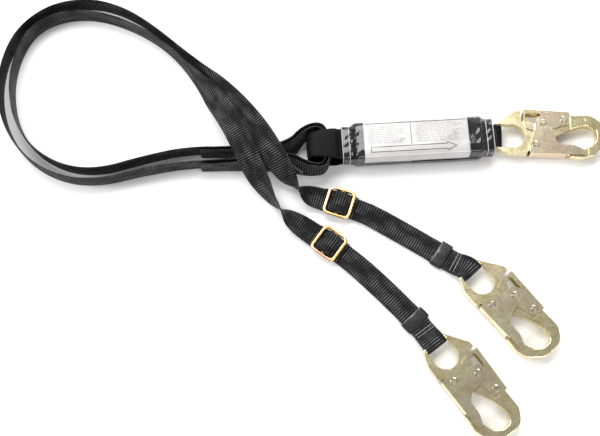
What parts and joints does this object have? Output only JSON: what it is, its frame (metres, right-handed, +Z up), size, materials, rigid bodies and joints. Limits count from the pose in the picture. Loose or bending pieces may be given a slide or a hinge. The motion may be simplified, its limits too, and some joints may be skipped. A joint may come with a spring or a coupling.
{
  "type": "shock absorbing lanyard",
  "caption": "Twin-leg adjustable webbing lanyard with a shock pack in a clear cover and self-locking snap hooks at every end, laid out on a surface.",
  "frame": {"origin": "middle of the shock pack's flat underside, on the surface that the lanyard lies on", "axes": "+X along the shock pack towards the harness hook, +Z up from the surface, +Y completes the frame, away from the leg hooks"},
  "size_m": [0.6608, 0.5104, 0.0384],
  "materials": {
    "forged_plating": "yellow zinc plated forging, satin",
    "sheet_plating": "yellow zinc plated sheet, satin",
    "rivet_steel": "zinc plated, bright",
    "spring_wire": "drawn spring wire",
    "adjuster_plating": "yellow zinc plated, bright",
    "leg_web": "ribbed woven polyester webbing",
    "pack_web": "smooth woven polyester webbing",
    "tear_web": "tear webbing with pale tear threads",
    "clear_vinyl": "heat shrunk clear vinyl, glossy",
    "printed_film": "printed white film",
    "dark_vinyl": "dark glossy vinyl",
    "keeper_vinyl": "black glossy elastic sleeve",
    "thread": "bar-tacked polyester thread"
  },
  "bodies": {
    "absorber": {"absorber_cover": "clear_vinyl", "tear_webbing": "tear_web", "backup_strap": "pack_web", "leg_end_loop": "pack_web", "hook_end_loop": "pack_web", "absorber_label": "printed_film", "cover_flap": "dark_vinyl", "pack_bar_tacks": "thread"},
    "legs": {"leg_1_webbing": "leg_web", "leg_2_webbing": "leg_web", "leg_1_hook_loop": "leg_web", "leg_2_hook_loop": "leg_web", "leg_bar_tacks": "thread"},
    "harness_hook": {"harness_hook_body": "forged_plating", "harness_hook_gate_rivet": "rivet_steel", "harness_hook_lever_rivet": "rivet_steel"},
    "harness_hook_gate_set": {"harness_hook_gate": "sheet_plating", "harness_hook_locking_pin": "rivet_steel", "harness_hook_gate_spring": "spring_wire"},
    "harness_hook_lock_set": {"harness_hook_lock_lever": "sheet_plating", "harness_hook_lever_spring": "spring_wire"},
    "leg_1_hook": {"leg_1_hook_body": "forged_plating", "leg_1_hook_gate_rivet": "rivet_steel", "leg_1_hook_lever_rivet": "rivet_steel"},
    "leg_1_hook_gate_set": {"leg_1_hook_gate": "sheet_plating", "leg_1_hook_locking_pin": "rivet_steel", "leg_1_hook_gate_spring": "spring_wire"},
    "leg_1_hook_lock_set": {"leg_1_hook_lock_lever": "sheet_plating", "leg_1_hook_lever_spring": "spring_wire"},
    "leg_2_hook": {"leg_2_hook_body": "forged_plating", "leg_2_hook_gate_rivet": "rivet_steel", "leg_2_hook_lever_rivet": "rivet_steel"},
    "leg_2_hook_gate_set": {"leg_2_hook_gate": "sheet_plating", "leg_2_hook_locking_pin": "rivet_steel", "leg_2_hook_gate_spring": "spring_wire"},
    "leg_2_hook_lock_set": {"leg_2_hook_lock_lever": "sheet_plating", "leg_2_hook_lever_spring": "spring_wire"},
    "adjuster_1": {"adjuster_1_frame": "adjuster_plating", "adjuster_1_web_turn": "leg_web"},
    "adjuster_1_bar": {"adjuster_1_slide_bar": "adjuster_plating"},
    "adjuster_2": {"adjuster_2_frame": "adjuster_plating", "adjuster_2_web_turn": "leg_web"},
    "adjuster_2_bar": {"adjuster_2_slide_bar": "adjuster_plating"},
    "keeper_1": {"keeper_1": "keeper_vinyl"},
    "keeper_2": {"keeper_2": "keeper_vinyl"}
  },
  "joints": [
    {"name": "legs_swing", "type": "hinge", "parent": "absorber", "child": "legs", "pos_m": [-0.0976, -0.0023, 0.0166], "axis": [0, 0, 1], "range_deg": [-12, 8]},
    {"name": "harness_hook_swing", "type": "hinge", "parent": "absorber", "child": "harness_hook", "pos_m": [0.08856, 0.00246, 0.0102], "axis": [-0.0872, -0.9962, 0], "range_deg": [0, 60]},
    {"name": "harness_hook_lock_press", "type": "hinge", "parent": "harness_hook", "child": "harness_hook_lock_set", "pos_m": [0.16293, 0.01603, 0.0102], "axis": [0, 0, 1], "range_deg": [0, 11.5], "stiffness_Nm_per_rad": 0.08, "springref_deg": -8.59},
    {"name": "harness_hook_gate_open", "type": "hinge", "parent": "harness_hook", "child": "harness_hook_gate_set", "pos_m": [0.12893, -0.01121, 0.0102], "axis": [0, 0, 1], "range_deg": [0, 35.1], "stiffness_Nm_per_rad": 0.12, "springref_deg": -17.19},
    {"name": "leg_1_hook_swing", "type": "hinge", "parent": "legs", "child": "leg_1_hook", "pos_m": [0.04362, -0.14584, 0.0102], "axis": [-0.788, -0.6157, 0], "range_deg": [0, 60]},
    {"name": "leg_1_hook_lock_press", "type": "hinge", "parent": "leg_1_hook", "child": "leg_1_hook_lock_set", "pos_m": [0.10426, -0.19097, 0.0102], "axis": [0, 0, 1], "range_deg": [0, 11.5], "stiffness_Nm_per_rad": 0.08, "springref_deg": -8.59},
    {"name": "leg_1_hook_gate_open", "type": "hinge", "parent": "leg_1_hook", "child": "leg_1_hook_gate_set", "pos_m": [0.06115, -0.18468, 0.0102], "axis": [0, 0, 1], "range_deg": [0, 35.1], "stiffness_Nm_per_rad": 0.12, "springref_deg": -17.19},
    {"name": "leg_2_hook_swing", "type": "hinge", "parent": "legs", "child": "leg_2_hook", "pos_m": [-0.00104, -0.22069, 0.0102], "axis": [-0.8329, -0.5534, 0], "range_deg": [0, 90]},
    {"name": "leg_2_hook_lock_press", "type": "hinge", "parent": "leg_2_hook", "child": "leg_2_hook_lock_set", "pos_m": [0.05596, -0.27034, 0.0102], "axis": [0, 0, 1], "range_deg": [0, 11.5], "stiffness_Nm_per_rad": 0.08, "springref_deg": -8.59},
    {"name": "leg_2_hook_gate_open", "type": "hinge", "parent": "leg_2_hook", "child": "leg_2_hook_gate_set", "pos_m": [0.01346, -0.26076, 0.0102], "axis": [0, 0, 1], "range_deg": [0, 35.1], "stiffness_Nm_per_rad": 0.12, "springref_deg": -17.19},
    {"name": "adjuster_1_slide", "type": "slide", "parent": "legs", "child": "adjuster_1", "axis": [0.9336, -0.3584, 0], "range_m": [0, 0.024]},
    {"name": "adjuster_1_bar_slide", "type": "slide", "parent": "adjuster_1", "child": "adjuster_1_bar", "axis": [0.9336, -0.3584, 0], "range_m": [-0.0015, 0.0015]},
    {"name": "adjuster_2_slide", "type": "slide", "parent": "legs", "child": "adjuster_2", "axis": [0.7771, -0.6293, 0], "range_m": [0, 0.024]},
    {"name": "adjuster_2_bar_slide", "type": "slide", "parent": "adjuster_2", "child": "adjuster_2_bar", "axis": [0.7771, -0.6293, 0], "range_m": [-0.0015, 0.0015]},
    {"name": "keeper_1_slide", "type": "slide", "parent": "legs", "child": "keeper_1", "axis": [0.809, -0.5878, 0], "range_m": [-0.01, 0.001]},
    {"name": "keeper_2_slide", "type": "slide", "parent": "legs", "child": "keeper_2", "axis": [0.6428, -0.766, 0], "range_m": [-0.01, 0.001]}
  ],
  "couplings": [
    {"joint": "harness_hook_gate_open", "follows": "harness_hook_lock_press", "ratio": 3.04},
    {"joint": "leg_1_hook_gate_open", "follows": "leg_1_hook_lock_press", "ratio": 3.04},
    {"joint": "leg_2_hook_gate_open", "follows": "leg_2_hook_lock_press", "ratio": 3.04}
  ]
}
